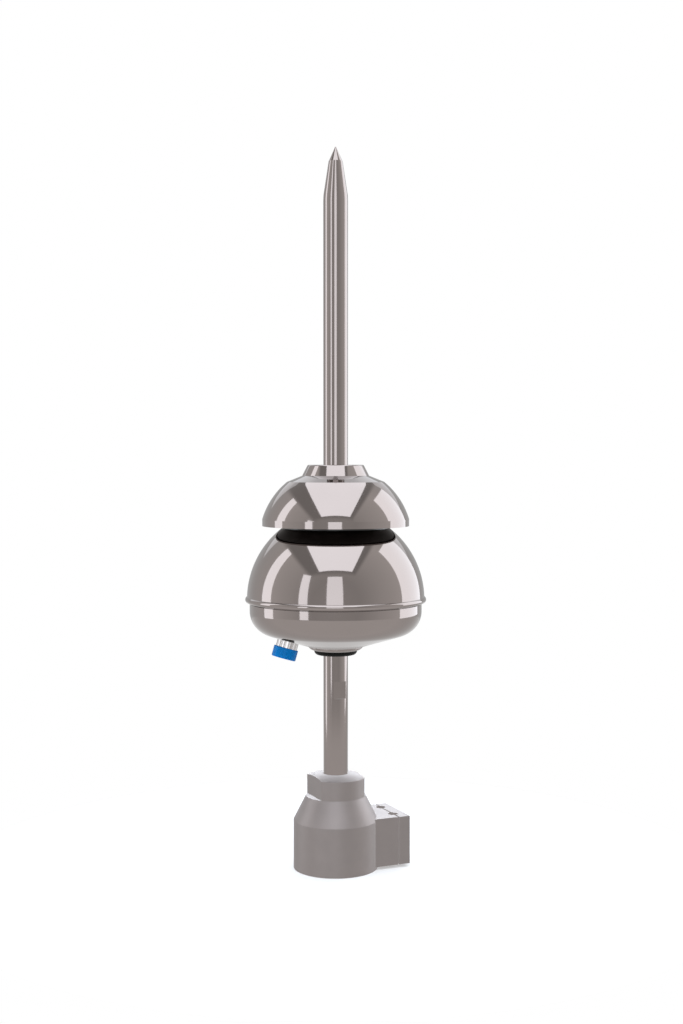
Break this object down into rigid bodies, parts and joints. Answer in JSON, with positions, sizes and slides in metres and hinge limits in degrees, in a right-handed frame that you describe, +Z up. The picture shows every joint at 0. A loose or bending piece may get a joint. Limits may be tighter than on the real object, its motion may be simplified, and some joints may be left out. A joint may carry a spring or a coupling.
{
  "type": "lightning rod",
  "caption": "Air terminal with a pointed rod, a cap over an insulated two-part housing, a test connector, and a mast adaptor with a conductor clamp.",
  "frame": {"origin": "centre of the mast socket's mouth, in the adaptor's bottom face", "axes": "+Z up along the rod, +X to the conductor clamp, -X to the test connector"},
  "size_m": [0.1472, 0.1472, 0.5856],
  "materials": {
    "polished_steel": "stainless steel, turned or spun and mirror polished",
    "satin_steel": "cast stainless steel, fine bead-blasted satin",
    "fastener_steel": "stainless fastener, bright",
    "black_nylon": "black moulded glass-filled nylon, slight gloss",
    "white_ptfe": "white PTFE tube",
    "glass_laminate": "glass-fibre laminate",
    "brass": "bright brass",
    "nickel_brass": "nickel-plated brass, turned",
    "capacitor_sleeve": "dark shrink sleeve",
    "ferrite": "sintered ferrite, matt",
    "copper_wire": "enamelled copper wire",
    "arrester_ceramic": "glazed ceramic with metal ends",
    "rubber": "black EPDM",
    "blue_plastic": "blue moulded plastic, low gloss"
  },
  "bodies": {
    "root": {"tip_rod": "polished_steel", "top_collar": "polished_steel", "collar_set_screw": "fastener_steel", "upper_cap": "polished_steel", "upper_insulator": "black_nylon", "housing_dome": "polished_steel", "seam_gasket": "rubber", "housing_dish": "polished_steel", "bottom_flange": "polished_steel", "bottom_insulator": "black_nylon", "insulator_nut": "black_nylon", "shaft": "polished_steel", "shoulder_washer": "fastener_steel", "base_plate": "glass_laminate", "base_pillars": "fastener_steel", "base_screws": "fastener_steel", "insulating_sleeve": "white_ptfe", "circuit_board": "glass_laminate", "board_spacers": "brass", "board_screws": "fastener_steel", "storage_capacitors": "capacitor_sleeve", "transformer_core": "ferrite", "transformer_winding": "copper_wire", "surge_arrester": "arrester_ceramic", "test_socket": "nickel_brass", "socket_insert": "black_nylon", "socket_pins": "brass", "socket_gasket": "rubber", "socket_nut": "nickel_brass", "test_cap": "blue_plastic", "mast_adaptor": "satin_steel", "clamp_plate": "satin_steel", "clamp_screws": "fastener_steel", "clamp_washers": "fastener_steel", "mast_set_screws": "fastener_steel"}
  },
  "joints": []
}
